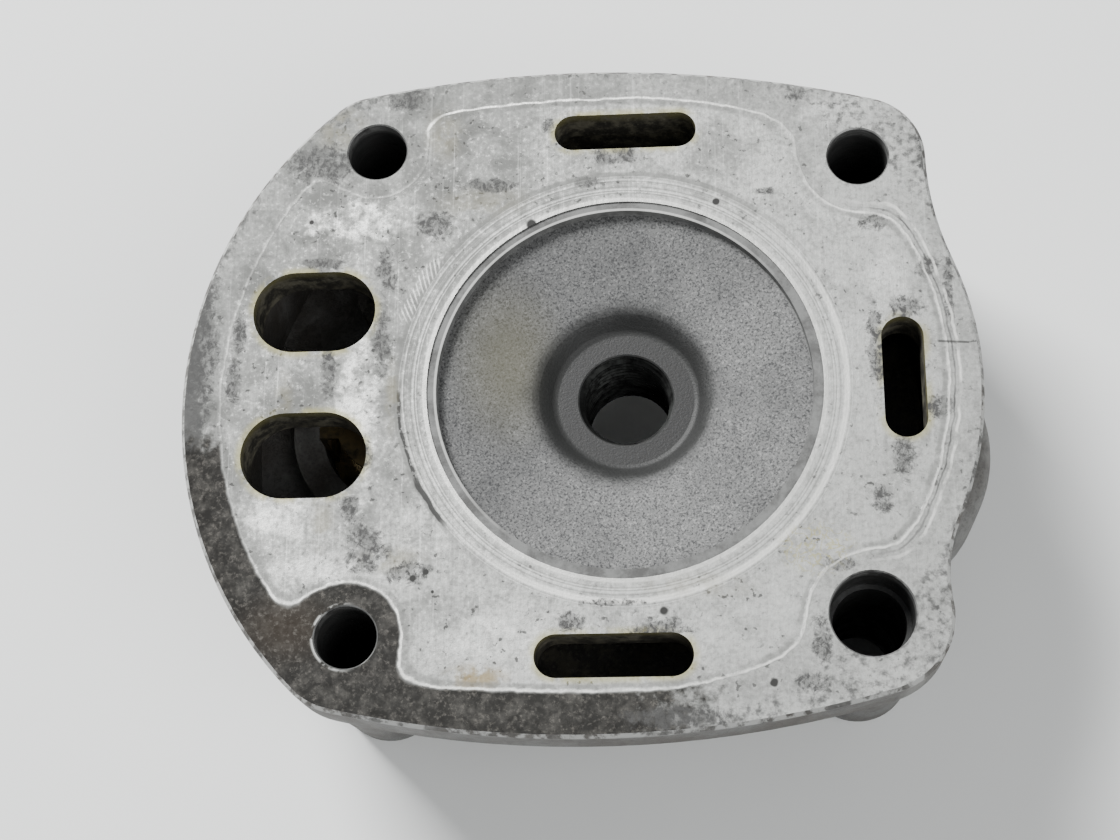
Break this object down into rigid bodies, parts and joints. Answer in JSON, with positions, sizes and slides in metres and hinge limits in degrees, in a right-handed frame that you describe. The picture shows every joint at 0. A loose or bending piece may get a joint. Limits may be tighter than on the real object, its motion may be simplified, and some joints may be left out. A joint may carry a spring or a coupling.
{
  "type": "cylinder head",
  "caption": "Water-cooled cylinder head for a small two-stroke engine: gasket face with coolant ports and combustion chamber, thermostat, temperature sender and air bleed behind it.",
  "frame": {"origin": "on the bore axis, in the plane of the gasket face", "axes": "+Z leaves the gasket face along the bore axis, towards the cylinder; the coolant spigot points along -X and the temperature sender along +Y"},
  "size_m": [0.1245, 0.1093, 0.0425],
  "materials": {
    "worn_aluminium": "worn machined face, blasted chamber, dark stained casting",
    "cast_cover": "sand-cast, stained",
    "zinc_steel": "zinc plated, dulled",
    "black_rubber": "matt",
    "thermostat_brass": "dull, water stained",
    "spring_steel": "drawn wire",
    "element_copper": "dull copper",
    "wax": "copper-filled wax",
    "sender_brass": "turned, dulled",
    "seal_copper": "annealed copper",
    "thermistor_ceramic": "sintered",
    "insulator_black": "moulded phenolic",
    "tinned_terminal": "tinned"
  },
  "bodies": {
    "head": {"head_casting": "worn_aluminium", "thermostat_cover": "cast_cover", "cover_screws": "zinc_steel", "cover_washers": "zinc_steel", "thermostat_seal": "black_rubber", "thermostat_flange": "thermostat_brass", "thermostat_cage": "thermostat_brass", "thermostat_spring": "spring_steel", "thermostat_piston": "spring_steel", "sender_body": "sender_brass", "sender_washer": "seal_copper", "sender_thermistor": "thermistor_ceramic", "sender_insulator": "insulator_black", "sender_terminal": "tinned_terminal", "bleed_screw": "zinc_steel", "bleed_washer": "seal_copper"},
    "thermostat_element": {"thermostat_valve": "thermostat_brass", "thermostat_capsule": "element_copper", "thermostat_guide": "thermostat_brass", "thermostat_wax": "wax", "thermostat_sleeve": "black_rubber"},
    "vent_pin": {"jiggle_pin": "thermostat_brass"}
  },
  "joints": [
    {"name": "thermostat_lift", "type": "slide", "parent": "head", "child": "thermostat_element", "axis": [0, 0, 1], "range_m": [0, 0.004], "stiffness_N_per_m": 1500, "springref_m": -0.01, "deforming": ["thermostat_spring"]},
    {"name": "vent_pin_slide", "type": "slide", "parent": "head", "child": "vent_pin", "axis": [0, 0, 1], "range_m": [0, 0.0014]}
  ]
}
